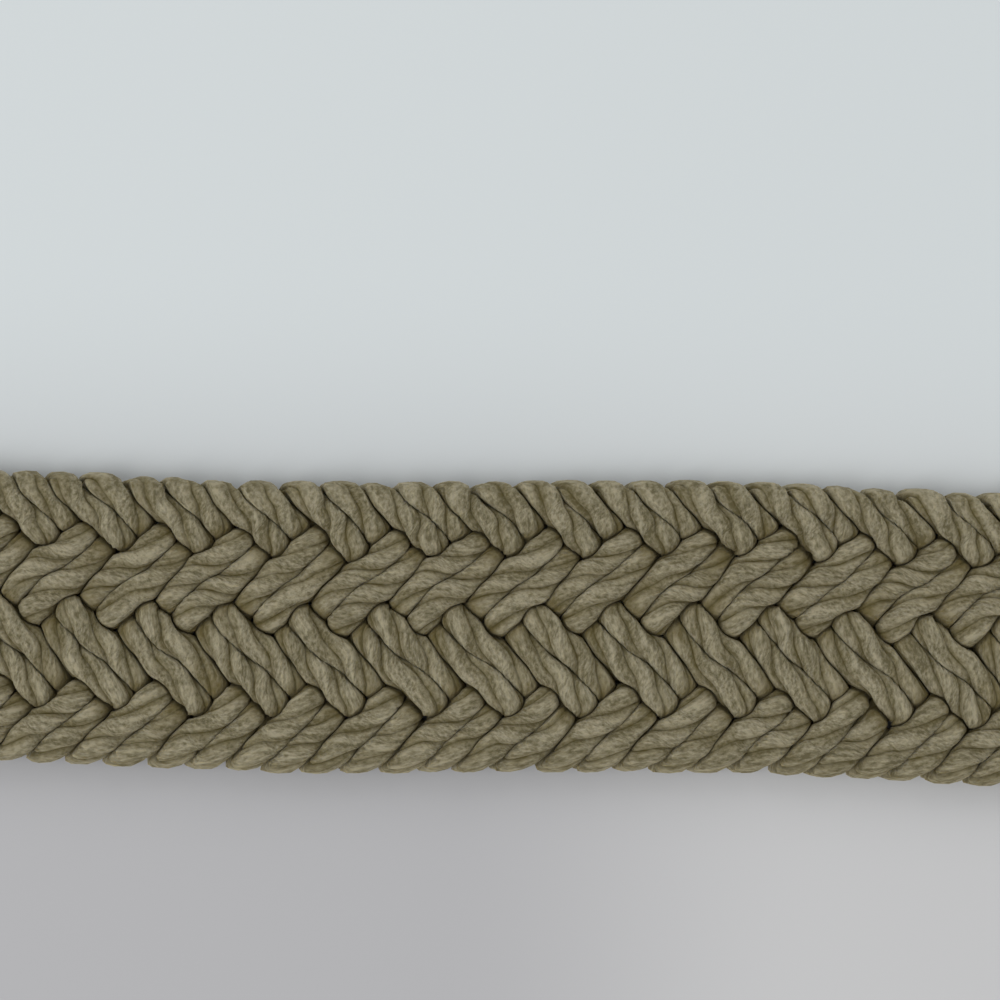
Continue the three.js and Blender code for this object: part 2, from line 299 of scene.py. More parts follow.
def neighbour_table(period_paths):
    """For each ring of one period, the cord, strand shift and ring of what lies close to it."""
    samples = np.arange(0, RINGS, NEIGHBOUR_STEP)
    found = []
    for cord in range(CORDS_IN_STRAND):
        cord_found = [[] for _ in range(RINGS)]
        for turn in range(-STRANDS - 3, STRANDS + 4):
            for other in range(CORDS_IN_STRAND):
                points = period_paths[other, samples] + [turn * PITCH, 0, 0]
                apart = (period_paths[cord][:, None] - points) * STRETCH
                close = np.linalg.norm(apart, axis=2) < NEIGHBOUR_REACH
                if other == cord and turn % STRANDS == 0:
                    ring = samples + RINGS * (turn // STRANDS)
                    close &= np.abs(np.arange(RINGS)[:, None] - ring) > OWN_RINGS
                for ring, sample in zip(*np.nonzero(close)):
                    cord_found[ring].append((other, turn, samples[sample]))
        found.append(cord_found)
    most = max(len(near) for cord_found in found for near in cord_found)
    table = np.full((CORDS_IN_STRAND, RINGS, most, 3), -1)
    for cord, cord_found in enumerate(found):
        for ring, near in enumerate(cord_found):
            if near:
                table[cord, ring, : len(near)] = near
    return table


def cord_rings(lines, table, strand, cord):
    """The kept rings of one cord: their vertices, their place along the cord, and each vertex's masks of
    painted shade.
    """
    line = lines[strand * CORDS_IN_STRAND + cord]
    count = len(line)
    inside = (line[:, 0] > braid_low.x + END_GAP) & (line[:, 0] < braid_high.x - END_GAP)
    first, last = np.nonzero(inside)[0][[0, -1]]
    index = np.arange(first, last + 1)
    fine = np.abs(line[index, 0] - VIEW_X) < FINE_REACH
    index = index[fine | (index % COARSE_STEP == 0) | (index == first) | (index == last)]

    scaled = line * STRETCH
    arc = np.concatenate([[0], np.cumsum(np.linalg.norm(np.diff(line, axis=0), axis=1))])
    tangent = np.gradient(scaled, axis=0)[index]
    tangent /= np.linalg.norm(tangent, axis=1, keepdims=True)
    across = np.cross(UP, tangent)
    across /= np.linalg.norm(across, axis=1, keepdims=True)
    outward = np.cross(tangent, across)

    rng = np.random.default_rng(TWIST_SEED + strand * CORDS_IN_STRAND + cord)
    twist = 2 * np.pi * arc / LAY + rng.uniform(0, 2 * np.pi)
    twist = (twist + wander(rng, arc, TWIST_WANDER_LENGTH, TWIST_WANDER))[index]
    swell = 1 + wander(rng, arc, TWIST_WANDER_LENGTH, RADIUS_WANDER)[index]
    section, groove = ply_section()
    angle = 2 * np.pi * ROUND_SHARES + twist[:, None]
    direction = np.cos(angle)[..., None] * across[:, None] + np.sin(angle)[..., None] * outward[:, None]
    spread = smoothstep(EDGE_Y - EDGE_SPREAD_REACH, EDGE_Y, np.abs(line[index, 1]))
    dive = smoothstep(DIVE_HIGH, DIVE_LOW, np.abs(line[index, 2])) * (1 - spread)
    swell *= 1 + DIVE_SWELL * dive
    inward = np.clip(-direction[..., 2] * line[index, 2, None] / LAYER_HEIGHT, 0, 1) * (1 - spread[:, None])
    radius = section * swell[:, None] * (1 + INNER_SWELL * inward)
    offset = radius[..., None] * direction * (1 + EDGE_SPREAD * spread[:, None, None])
    radius = np.linalg.norm(offset, axis=2)
    direction = offset / radius[..., None]

    near = table[cord, index % RINGS]
    missing = near[..., 0] < 0
    other_strand = strand + near[..., 1]
    other_cord = (other_strand % STRANDS) * CORDS_IN_STRAND + near[..., 0]
    other_ring = near[..., 2] + RINGS * ((index // RINGS)[:, None] + other_strand // STRANDS)
    other_ring = np.clip(other_ring, 0, count - 1)
    toward = lines[other_cord, other_ring] * STRETCH - scaled[index][:, None]
    distance = np.linalg.norm(toward, axis=2)
    distance[missing] = FAR
    facing = np.einsum("rad,rnd->ran", direction, toward / distance[..., None])
    further_out = (np.abs(line[index, 2])[:, None] - np.abs(lines[other_cord, other_ring, 2])) / distance
    share = 0.5 + COVERING * np.where(missing, 0, further_out)
    same_strand = near[..., 1] % STRANDS == 0
    gap = np.where(same_strand, PAIR_GAP, STRAND_GAP)
    limit = (distance * share - gap)[:, None] / np.maximum(facing, LEAST_FACING)
    pair_limit = np.where((same_strand & ~missing)[:, None], limit, FAR).min(axis=2)
    limit = np.where((same_strand | missing)[:, None], FAR, limit).min(axis=2)
    floor_room = scaled[index, 2] + (BRAID_MIDDLE - FLOOR_GAP) / CORD_FLATNESS
    floor_limit = floor_room[:, None] / np.maximum(-direction[..., 2], LEAST_FACING)
    limit = np.minimum(limit, np.maximum(floor_limit, LEAST_RADIUS))
    beside = np.abs(direction[..., 0]) * spread[:, None]
    limit = np.minimum(limit, (PITCH / 4 - PAIR_GAP) / np.maximum(beside, LEAST_FACING))
    # How much painted shade a vertex takes where it presses on another strand
    pressed_shade = smoothstep(PRESSED_NONE, PRESSED_WHOLE, limit / radius)
    edge_room = (HALF_WIDTH + EDGE_OVERHANG - np.abs(line[index, 1]))[:, None]
    outward_share = direction[..., 1] * np.sign(line[index, 1])[:, None]
    filled = BASE_RADIUS * radius / section * np.maximum(outward_share, LEAST_FACING) / edge_room
    radius /= (1 + filled**EDGE_BLEND_POWER) ** (1 / EDGE_BLEND_POWER)
    radius = (radius**-STRAND_BLEND_POWER + limit**-STRAND_BLEND_POWER) ** (-1 / STRAND_BLEND_POWER)
    radius = (radius**-PAIR_BLEND_POWER + pair_limit**-PAIR_BLEND_POWER) ** (-1 / PAIR_BLEND_POWER)

    points = (scaled[index][:, None] + radius[..., None] * direction) / STRETCH
    # Painted shade for a vertex deep in the braid, and for the end of a cord where it dives under
    sunk = smoothstep(SUNK_HIGH, SUNK_LOW, np.abs(points[..., 2])) * (1 - spread[:, None])
    sunk = np.maximum(sunk, dive[:, None])
    painted_shade_masks = {"pressed_shade": pressed_shade, "groove": np.broadcast_to(groove, sunk.shape), "sunk": sunk}
    return points, arc[index], painted_shade_masks


# Inside the tabs the braid is pressed flat, and it swells again past their edges
SWELL_START = PITCH / 2
SWELL_END = 2 * PITCH
PRESSED_SHARE = 0.58
TAB_MIDDLE = TAB_THICKNESS / 2
# The braid lies in slight bends, and its rows don't share the width evenly
MEANDER = 0.48 * MM
MEANDER_LENGTH = 100 * MM
ROW_SHIFT = 0.85 * MM
ROW_SKEW = 1.8
TOP_LEAN = 0.45 * MM
TOP_LEAN_START = 0.5
TOP_LEAN_END = 0.75
# The turns round the -Y edge are swept toward the buckle
EDGE_SWEEP = 1.3 * MM
EDGE_SWEEP_START = 0.82


def laid(points):
    """Braid points, measured from the middle of its thickness, in their place on the belt."""
    x, y, z = points[..., 0], points[..., 1], points[..., 2]
    free = smoothstep(BUCKLE_TAB_EDGE + SWELL_START, BUCKLE_TAB_EDGE + SWELL_END, x)
    free = free - smoothstep(TIP_TAB_EDGE - SWELL_END, TIP_TAB_EDGE - SWELL_START, x)
    share = PRESSED_SHARE + (1 - PRESSED_SHARE) * free
    middle = TAB_MIDDLE + (BRAID_MIDDLE - TAB_MIDDLE) * free
    across = np.clip(y / HALF_WIDTH, -1, 1)
    y = y + ROW_SHIFT * (1 - across**2) * (1 + ROW_SKEW * across)
    bend = MEANDER * free * np.sin(2 * np.pi * (x - VIEW_X) / MEANDER_LENGTH)
    swept = np.clip((-across - EDGE_SWEEP_START) / (1 - EDGE_SWEEP_START), 0, 1)
    x = x + TOP_LEAN * smoothstep(TOP_LEAN_START, TOP_LEAN_END, across) - EDGE_SWEEP * swept**2
    return np.stack([x, y + bend, middle + z * share], axis=-1)


def end_caps(rings, arc):
    """Faces across a cord's first and last ring, and their places in the yarn map."""
    step = np.arange(AROUND // 2 - 1)
    across = np.stack([step, step + 1, AROUND - 2 - step, AROUND - 1 - step], axis=-1)
    faces = np.concatenate([across[:, ::-1], across + (rings - 1) * AROUND])
    return faces, np.stack([arc[faces // AROUND], ROUND_SHARES[faces % AROUND]], axis=-1)


def strand_mesh(name, cords):
    """One mesh of a strand's cords, with its yarn map and its attributes of painted shade."""
    vertices, faces, maps = [], [], []
    start = 0
    for points, arc, _ in cords:
        rings = len(points)
        vertices.append(laid(points).reshape(-1, 3))
        ring, place = np.meshgrid(np.arange(rings - 1), np.arange(AROUND), indexing="ij")
        following = (place + 1) % AROUND
        corners = [ring * AROUND + place, ring * AROUND + following]
        corners += [(ring + 1) * AROUND + following, (ring + 1) * AROUND + place]
        along = [arc[ring], arc[ring], arc[ring + 1], arc[ring + 1]]
        here, next_one = ROUND_SHARES[place], np.append(ROUND_SHARES, 1)[place + 1]
        round_it = [here, next_one, next_one, here]
        cap_faces, cap_maps = end_caps(rings, arc)
        faces += [start + np.stack(corners, axis=-1).reshape(-1, 4), start + cap_faces]
        maps.append(np.stack([np.stack(along, -1), np.stack(round_it, -1)], -1).reshape(-1, 2))
        maps.append(cap_maps.reshape(-1, 2))
        start += rings * AROUND
    vertices = np.concatenate(vertices)
    faces = np.concatenate(faces)
    maps = np.concatenate(maps)
    mesh = bpy.data.meshes.new(name)
    mesh.vertices.add(len(vertices))
    mesh.vertices.foreach_set("co", vertices.astype(np.float32).ravel())
    mesh.loops.add(faces.size)
    mesh.loops.foreach_set("vertex_index", faces.astype(np.int32).ravel())
    mesh.polygons.add(len(faces))
    mesh.polygons.foreach_set("loop_start", np.arange(len(faces), dtype=np.int32) * 4)
    mesh.update(calc_edges=True)
    mesh.polygons.foreach_set("use_smooth", np.ones(len(faces), bool))
    yarn_map = mesh.uv_layers.new(name="yarn")
    yarn_map.uv.foreach_set("vector", maps.astype(np.float32).ravel())
    for attribute in ("pressed_shade", "groove", "sunk"):
        values = np.concatenate([painted_shade_masks[attribute].ravel() for _, _, painted_shade_masks in cords])
        layer = mesh.attributes.new(attribute, "FLOAT", "POINT")
        layer.data.foreach_set("value", values.astype(np.float32))
    return mesh


class Nodes:
    """A short way to write a material's node tree."""

    def __init__(self, name):
        self.material = bpy.data.materials.new(name)
        self.material.use_nodes = True
        self.tree = self.material.node_tree
        self.shader = self.tree.nodes["Principled BSDF"]

    def add(self, kind, inputs=(), **settings):
        node = self.tree.nodes.new(kind)
        for key, value in settings.items():
            setattr(node, key, value)
        for key, value in dict(inputs).items():
            if isinstance(value, bpy.types.NodeSocket):
                self.tree.links.new(value, node.inputs[key])
            else:
                node.inputs[key].default_value = value
        return node

    def math(self, operation, first, second=0.0):
        return self.add("ShaderNodeMath", {0: first, 1: second}, operation=operation).outputs[0]

    def noise(self, place, scale, detail, roughness=0.5):
        inputs = {"Vector": place, "Scale": scale, "Detail": detail, "Roughness": roughness}
        return self.add("ShaderNodeTexNoise", inputs).outputs[0]

    def spread(self, value, low, high, new_low=0.0, new_high=1.0, **settings):
        """Carries low to new_low and high to new_high, and stops there."""
        inputs = {0: value, 1: low, 2: high, 3: new_low, 4: new_high}
        return self.add("ShaderNodeMapRange", inputs, **settings).outputs[0]

    def bump(self, height, strength, distance):
        inputs = {"Height": height, "Strength": strength, "Distance": distance}
        return self.add("ShaderNodeBump", inputs).outputs[0]

    def mix(self, share, first, second):
        node = self.add("ShaderNodeMix", data_type="RGBA")
        for place, value in ((0, share), (6, first), (7, second)):
            if isinstance(value, bpy.types.NodeSocket):
                self.tree.links.new(value, node.inputs[place])
            else:
                node.inputs[place].default_value = value
        return node.outputs[2]

    def set(self, **values):
        for key, value in values.items():
            socket = self.shader.inputs[key.replace("_", " ")]
            if isinstance(value, bpy.types.NodeSocket):
                self.tree.links.new(value, socket)
            else:
                socket.default_value = value


# The floor's painted shade: the colour changes between these places, in front of the belt it is darker,
# most to the left, and far from the middle it is one even colour
FLOOR_CHANGE_ACROSS = (-0.02, 0.045)
FLOOR_CHANGE_ALONG = (-0.01, 0.04)
FLOOR_BEHIND = (0.620, 0.662, 0.674, 1)
FLOOR_SHADE_FRONT_LEFT = (0.436, 0.436, 0.448, 1)
FLOOR_SHADE_FRONT_RIGHT = (0.545, 0.547, 0.553, 1)
FLOOR_FAR = (0.555, 0.570, 0.577, 1)
FLOOR_FAR_REACH = (0.09, 0.45)
LEATHER_LIGHT = (0.105, 0.056, 0.032, 1)
LEATHER_DARK = (0.070, 0.036, 0.020, 1)
THREAD = (0.17, 0.14, 0.09, 1)
METAL = (0.42, 0.39, 0.34, 1)
YARN_LIGHT = (0.350, 0.318, 0.222, 1)
YARN_DARK = (0.124, 0.108, 0.060, 1)
# Painted shade: the deep colour darkens the yarn between strands, in sunk places and where a cord dives
# under
YARN_DEEP_SHADE = (0.115, 0.088, 0.028, 1)
# Painted shade in the grooves between the plies
YARN_GROOVE_SHADE = (0.085, 0.066, 0.018, 1)
YARN_SHEEN = (0.80, 0.70, 0.45, 1)
# The noise in the yarn is laid round the cord on a circle of this radius, and along it at this rate
NOISE_RADIUS = 1.6
NOISE_RUN = 0.9 / MM
# How much each noise adds to the yarn's tone, and the sums at which it is darkest and lightest
FIBRE_SHARE = 0.9
PATCH_SHARE = 0.35
RIDGE_SHARE = 0.45
TONE_RANGE = (0.68, 1.02)
# How much of the deep painted shade colour a pressed and a sunk place takes
PRESSED_SHADE_SHARE = 0.45
SUNK_SHADE_SHARE = 0.75


def yarn_material():
    nodes = Nodes("yarn")
    coordinates = nodes.add("ShaderNodeUVMap", uv_map="yarn").outputs[0]
    split = nodes.add("ShaderNodeSeparateXYZ", {0: coordinates})
    along, round_it = split.outputs[0], split.outputs[1]
    angle = nodes.math("MULTIPLY", round_it, 2 * math.pi)
    circle = nodes.add(
        "ShaderNodeCombineXYZ",
        {
            0: nodes.math("MULTIPLY", nodes.math("COSINE", angle), NOISE_RADIUS),
            1: nodes.math("MULTIPLY", nodes.math("SINE", angle), NOISE_RADIUS),
            2: nodes.math("MULTIPLY", along, NOISE_RUN),
        },
    ).outputs[0]
    drawn_out = nodes.add("ShaderNodeMapping", {"Vector": circle, "Scale": (1.0, 1.0, 0.22)}).outputs[0]
    fibre = nodes.noise(circle, 2.6, 3.0, 0.64)
    patch = nodes.noise(circle, 0.7, 2.0)
    ridge = nodes.noise(drawn_out, 1.15, 1.0)
    groove = nodes.add("ShaderNodeAttribute", attribute_name="groove").outputs["Fac"]
    pressed_shade = nodes.add("ShaderNodeAttribute", attribute_name="pressed_shade").outputs["Fac"]
    sunk = nodes.add("ShaderNodeAttribute", attribute_name="sunk").outputs["Fac"]
    tone = nodes.math("MULTIPLY", fibre, FIBRE_SHARE)
    tone = nodes.math("ADD", tone, nodes.math("MULTIPLY", patch, PATCH_SHARE))
    tone = nodes.math("ADD", tone, nodes.math("MULTIPLY", ridge, RIDGE_SHARE))
    colour = nodes.mix(nodes.spread(tone, *TONE_RANGE), YARN_DARK, YARN_LIGHT)
    pressed_shade = nodes.math("MULTIPLY", pressed_shade, PRESSED_SHADE_SHARE)
    sunk = nodes.math("MULTIPLY", sunk, SUNK_SHADE_SHARE)
    # Painted shade between strands, in sunk places and where a cord dives under
    colour = nodes.mix(nodes.math("MAXIMUM", pressed_shade, sunk), colour, YARN_DEEP_SHADE)
    # Painted shade in the grooves between the plies, a little uneven
    uneven = nodes.spread(patch, 0.35, 0.65, 0.5, 1.0)
    colour = nodes.mix(nodes.math("MULTIPLY", groove, uneven), colour, YARN_GROOVE_SHADE)
    height = nodes.math("ADD", fibre, nodes.math("MULTIPLY", ridge, 2.0))
    nodes.set(Base_Color=colour, Roughness=0.9, Normal=nodes.bump(height, 0.8, 0.22 * MM))
    nodes.set(Sheen_Weight=0.15, Sheen_Roughness=0.5, Sheen_Tint=YARN_SHEEN, Specular_IOR_Level=0.1)
    nodes.set(Subsurface_Weight=0.55, Subsurface_Radius=(1.0, 0.8, 0.4), Subsurface_Scale=0.8 * MM)
    return nodes.material


def leather_material():
    nodes = Nodes("leather")
    place = nodes.add("ShaderNodeTexCoord").outputs["Object"]
    pebbles = nodes.add("ShaderNodeTexVoronoi", {"Vector": place, "Scale": 1100.0}, feature="SMOOTH_F1")
    creases = nodes.noise(place, 260.0, 5.0, 0.6)
    patches = nodes.noise(place, 60.0, 3.0)
    height = nodes.math("ADD", pebbles.outputs[0], nodes.math("MULTIPLY", creases, 1.2))
    colour = nodes.mix(nodes.spread(patches, 0.35, 0.7), LEATHER_DARK, LEATHER_LIGHT)
    roughness = nodes.spread(patches, 0.3, 0.7, 0.42, 0.56)
    nodes.set(Base_Color=colour, Roughness=roughness, Normal=nodes.bump(height, 0.35, 0.2 * MM))
    nodes.set(Specular_IOR_Level=0.4)
    return nodes.material


def thread_material():
    nodes = Nodes("thread")
    nodes.set(Base_Color=THREAD, Roughness=0.8, Specular_IOR_Level=0.3)
    return nodes.material


def metal_material():
    nodes = Nodes("satin_metal")
    place = nodes.add("ShaderNodeTexCoord").outputs["Object"]
    brushed = nodes.add("ShaderNodeMapping", {"Vector": place, "Scale": (400.0, 9000.0, 3000.0)}).outputs[0]
    lines = nodes.noise(brushed, 1.0, 3.0)
    roughness = nodes.spread(lines, 0.3, 0.7, 0.28, 0.4)
    nodes.set(Base_Color=METAL, Metallic=1.0, Roughness=roughness, Normal=nodes.bump(lines, 0.12, 0.1 * MM))
    return nodes.material


def floor_material():
    """A pale table with painted shade: near the middle of the belt it is darker in front of the belt than
    behind it, as in a soft shadow.
    """
    nodes = Nodes("floor")
    place = nodes.add("ShaderNodeTexCoord").outputs["Object"]
    split = nodes.add("ShaderNodeSeparateXYZ", {0: place})
    smooth = {"interpolation_type": "SMOOTHSTEP"}
    to_right = nodes.spread(split.outputs[0], *FLOOR_CHANGE_ALONG, **smooth)
    behind = nodes.spread(split.outputs[1], *FLOOR_CHANGE_ACROSS, **smooth)
    # The painted shade in front of the belt
    front = nodes.mix(to_right, FLOOR_SHADE_FRONT_LEFT, FLOOR_SHADE_FRONT_RIGHT)
    distance = nodes.add("ShaderNodeVectorMath", {0: place}, operation="LENGTH").outputs["Value"]
    far = nodes.spread(distance, *FLOOR_FAR_REACH, **smooth)
    colour = nodes.mix(far, nodes.mix(behind, front, FLOOR_BEHIND), FLOOR_FAR)
    nodes.set(Base_Color=colour, Roughness=0.7, Specular_IOR_Level=0.2)
    return nodes.material


def build_braid():
    period_paths = resampled(relaxed_paths(), RINGS)
    table = neighbour_table(period_paths)
    lines = cord_lines(period_paths)
    material = yarn_material()
    for strand in range(STRANDS):
        cords = [cord_rings(lines, table, strand, cord) for cord in range(CORDS_IN_STRAND)]
        name = f"braid_strand_{strand + 1}"
        piece = bpy.data.objects.new(name, strand_mesh(name, cords))
        bpy.context.scene.collection.objects.link(piece)
        piece.data.materials.append(material)
        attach(piece, "root")
        if strand == 0:
            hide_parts("braid")


SHARP_ANGLE = 0.6  # corners sharper than this stay sharp
MERGE_DISTANCE = 1e-6


def object_of(name, vertices, faces, material):
    """One piece on the belt's body, with its faces turned outward and its sharp corners kept."""
    mesh = bpy.data.meshes.new(name)
    mesh.from_pydata([tuple(point) for point in vertices], [], [tuple(face) for face in faces])
    shape = bmesh.new()
    shape.from_mesh(mesh)
    bmesh.ops.remove_doubles(shape, verts=shape.verts, dist=MERGE_DISTANCE)
    bmesh.ops.recalc_face_normals(shape, faces=shape.faces)
    shape.to_mesh(mesh)
    shape.free()
    mesh.polygons.foreach_set("use_smooth", [True] * len(mesh.polygons))
    mesh.set_sharp_from_angle(angle=SHARP_ANGLE)
    mesh.materials.append(material)
    piece = bpy.data.objects.new(name, mesh)
    bpy.context.scene.collection.objects.link(piece)
    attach(piece, "root")
    return piece


def skin(loops, first=0):
    """Faces over loops of points, laid out as stations, corners and xyz, with a cap at each end."""
    stations, corners = loops.shape[:2]
    station, corner = np.meshgrid(np.arange(stations - 1), np.arange(corners), indexing="ij")
    following = (corner + 1) % corners
    quads = [station * corners + corner, station * corners + following]
    quads += [(station + 1) * corners + following, (station + 1) * corners + corner]
    faces = (first + np.stack(quads, axis=-1).reshape(-1, 4)).tolist()
    last = first + (stations - 1) * corners
    return faces + [list(range(first, first + corners)), list(range(last, last + corners))]


# Leather: how far in from a cut edge a sheet has points, and its rounded edge and seam channel
EDGE_STOPS = np.array([0, 0.08, 0.22, 0.5, 1.1, 1.7, 2.2, 2.6, 3.0, 3.5, 4.2]) * MM
EDGE_ROUNDING = 0.5 * MM
SEAM_INSET = 2.6 * MM
SEAM_WIDTH = 0.55 * MM
SEAM_DEPTH = 0.22 * MM
STATION_STEP = 1.0 * MM
MIDDLE_POINTS = 9  # across the middle of a sheet, with the last point of either edge
EDGE_ROOM = 1.3  # a sheet narrower than this times its two edges has them drawn together


def stations_between(start, end):
    """Places from one end of a sheet to the other, close together by both ends."""
    inner = EDGE_STOPS[-1]
    steps = round((end - start - 2 * inner) / STATION_STEP)
    middle = np.linspace(start + inner, end - inner, steps + 1)[1:-1]
    return np.concatenate([start + EDGE_STOPS, middle, end - EDGE_STOPS[::-1]])


def sheet_loops(path, normal, half_width, from_end, slant):
    """The skin of a sheet along a path in x and z. slant is the cosine of the sides' slope in plan."""
    inner = EDGE_STOPS[-1]
    squeeze = np.minimum(1, half_width / (EDGE_ROOM * inner))
    from_side = EDGE_STOPS * squeeze[:, None]
    left = from_side - half_width[:, None]
    middle = (half_width - from_side[:, -1])[:, None] * np.linspace(-1, 1, MIDDLE_POINTS)[1:-1]
    y = np.concatenate([left, middle, -left[:, ::-1]], axis=1)
    inward = (half_width[:, None] - np.abs(y)) * slant[:, None]
    inward = np.minimum(inward, from_end[:, None])
    drop = EDGE_ROUNDING - np.sqrt(EDGE_ROUNDING**2 - np.clip(EDGE_ROUNDING - inward, 0, None) ** 2)
    channel = SEAM_DEPTH * np.exp(-(((inward - SEAM_INSET) / SEAM_WIDTH) ** 2))
    half = LEATHER / 2 - drop - channel
    loops = []
    for sign, order in ((1, slice(None)), (-1, slice(None, None, -1))):
        points = path[:, None] + sign * half[..., None] * normal[:, None]
        points = np.stack([points[..., 0], y, points[..., 1]], axis=-1)
        loops.append(points[:, order])
    return np.concatenate(loops, axis=1)


def path_normals(path):
    along = np.gradient(path, axis=0)
    along /= np.linalg.norm(along, axis=1, keepdims=True)
    return np.stack([-along[:, 1], along[:, 0]], axis=1)


# The tip: two sheets over the braid's end, brought together past it and cut to a soft point
TIP_SLOPE = 10 * MM
TIP_POINT = 20 * MM
TIP_FULLNESS = 0.72
TIP_BLUNTNESS = 1 * MM
POINT_STATIONS = 36
POINT_CLOSENESS = 1.6  # a higher power brings its stations closer together by the very tip
NARROWEST = 0.15 * MM


def tip_outline():
    """Places along the tip tab and its half width at each."""
    share = 1 - np.linspace(1, 0, POINT_STATIONS) ** POINT_CLOSENESS
    controls = ((TIP_X - TIP_POINT, HALF_TAB), (TIP_X - TIP_BLUNTNESS, HALF_TAB * TIP_FULLNESS), (TIP_X, 0))
    weights = np.stack([(1 - share) ** 2, 2 * share * (1 - share), share**2], axis=1)
    curve = weights @ np.array(controls)
    straight = stations_between(TIP_TAB_EDGE, TIP_X - TIP_POINT + EDGE_STOPS[-1])
    straight = straight[straight < TIP_X - TIP_POINT - STATION_STEP / 2]
    along = np.concatenate([straight, curve[:, 0]])
    half_width = np.concatenate([np.full(len(straight), HALF_TAB), curve[:, 1]])
    return along, np.maximum(half_width, NARROWEST)


def tip_height(x, side):
    """The middle of the upper or lower sheet."""
    over_braid = TAB_THICKNESS - LEATHER / 2
    past_it = LEATHER + CLEARANCE + LEATHER / 2
    sunk = smoothstep(braid_high.x, braid_high.x + TIP_SLOPE, x)
    upper = over_braid + (past_it - over_braid) * sunk
    return upper if side > 0 else np.full_like(x, LEATHER / 2)


def inset_outline(along, half_width):
    """The seam's way round a tab, in from its outline, as x and y."""
    half = np.stack([along, half_width], axis=1)
    heading = np.gradient(half, axis=0)
    heading /= np.linalg.norm(heading, axis=1, keepdims=True)
    inward = np.stack([heading[:, 1], -heading[:, 0]], axis=1)
    moved = half + SEAM_INSET * inward
    moved = moved[(moved[:, 1] > 0) & (moved[:, 0] > along[0] + SEAM_INSET)]
    corner = np.array([[along[0] + SEAM_INSET, half_width[0] - SEAM_INSET]])
    moved = np.concatenate([corner, moved])
    return np.concatenate([moved, moved[::-1] * [1, -1]])


# Stitches lie in the seam channel, each one dipping into the leather at both ends
STITCH_PITCH = 3.1 * MM
STITCH_LENGTH = 2.5 * MM
STITCH_RADIUS = 0.26 * MM  # and so deep that it is flush with the leather
STITCH_TAPER = 0.85
STITCH_DIP = 0.35 * MM
STITCH_RINGS = 7
STITCH_SIDES = 8


def build_stitches(name, seam, side, closed, thread):
    """Stitches along a seam on the upper or lower side. A closed seam comes back to its start."""
    if closed:
        seam = np.concatenate([seam, seam[:1]])
    length = np.concatenate([[0], np.cumsum(np.linalg.norm(np.diff(seam, axis=0), axis=1))])
    count = round(length[-1] / STITCH_PITCH)
    middles = (np.arange(count) + 0.5) * length[-1] / count
    share = np.linspace(-1, 1, STITCH_RINGS)
    angle = np.arange(STITCH_SIDES) * 2 * np.pi / STITCH_SIDES
    radius = STITCH_RADIUS * np.sqrt(1 - STITCH_TAPER * share**2)
    vertices, faces = [], []
    for middle in middles:
        stops = middle + share * STITCH_LENGTH / 2
        line = np.stack([np.interp(stops, length, seam[:, axis]) for axis in range(3)], axis=1)
        line[:, 2] -= side * (STITCH_RADIUS + STITCH_DIP * share**2)
        heading = np.gradient(line, axis=0)
        heading /= np.linalg.norm(heading, axis=1, keepdims=True)
        sideways = np.cross(heading, UP)
        sideways /= np.linalg.norm(sideways, axis=1, keepdims=True)
        lift = np.cross(sideways, heading)
        round_it = np.cos(angle)[:, None] * sideways[:, None] + np.sin(angle)[:, None] * lift[:, None]
        loops = line[:, None] + radius[:, None, None] * round_it
        faces += skin(loops, len(vertices) * STITCH_RINGS * STITCH_SIDES)
        vertices.append(loops.reshape(-1, 3))
    object_of(name, np.concatenate(vertices), faces, thread)


def build_tip_tab(leather, thread):
    along, half_width = tip_outline()
    slope = np.gradient(half_width, along)
    slant = 1 / np.sqrt(1 + slope**2)
    from_end = np.minimum(along - TIP_TAB_EDGE, TIP_X - along)
    outline = inset_outline(along, half_width)
    for side, name in ((1, "tip_tab_upper"), (-1, "tip_tab_lower")):
        path = np.stack([along, tip_height(along, side)], axis=1)
        loops = sheet_loops(path, path_normals(path), half_width, from_end, slant)
        piece = object_of(name, loops.reshape(-1, 3), skin(loops), leather)
        if side > 0:
            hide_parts("tip_tab")
        seam = np.column_stack([outline, tip_height(outline[:, 0], side) + side * LEATHER / 2])
        build_stitches(f"{name}_stitches", seam, side, True, thread)


# The buckle tab: one strip folded round the heel bar, with a slot for the prong
PRONG_SLOT = 5.4 * MM
SLOT_LENGTH = 5 * MM
SLOT_FAR = 6 * MM
FOLD_STATIONS = 24
SLOT_CORNERS = 12
SEAM_END = 9 * MM  # past the heel bar


def build_buckle_tab(leather, thread):
    middle = TAB_THICKNESS / 2
    fold = middle - LEATHER / 2
    flat = stations_between(BAR_X, BUCKLE_TAB_EDGE)
    flat = flat[flat > BAR_X + EDGE_STOPS[-1]]
    turn = np.linspace(np.pi / 2, 3 * np.pi / 2, FOLD_STATIONS)
    upper = np.stack([flat[::-1], np.full(len(flat), middle + fold)], axis=1)
    bend = np.stack([BAR_X + fold * np.cos(turn), middle + fold * np.sin(turn)], axis=1)
    lower = np.stack([flat, np.full(len(flat), middle - fold)], axis=1)
    path = np.concatenate([upper, bend, lower])
    from_end = BUCKLE_TAB_EDGE - path[:, 0]
    half_width = np.full(len(path), HALF_TAB)
    loops = sheet_loops(path, path_normals(path), half_width, from_end, np.ones(len(path)))
    piece = object_of("buckle_tab_strip", loops.reshape(-1, 3), skin(loops), leather)
    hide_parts("buckle_tab")
    cut_slot(piece)
    near, far = BAR_X + SEAM_END, BUCKLE_TAB_EDGE - SEAM_INSET
    half = HALF_TAB - SEAM_INSET
    for side, name in ((1, "buckle_tab_stitches_upper"), (-1, "buckle_tab_stitches_lower")):
        plan = np.array([[near, half], [far, half], [far, -half], [near, -half]])
        seam = np.column_stack([plan, np.full(len(plan), middle + side * (fold + LEATHER / 2))])
        build_stitches(name, seam, side, False, thread)


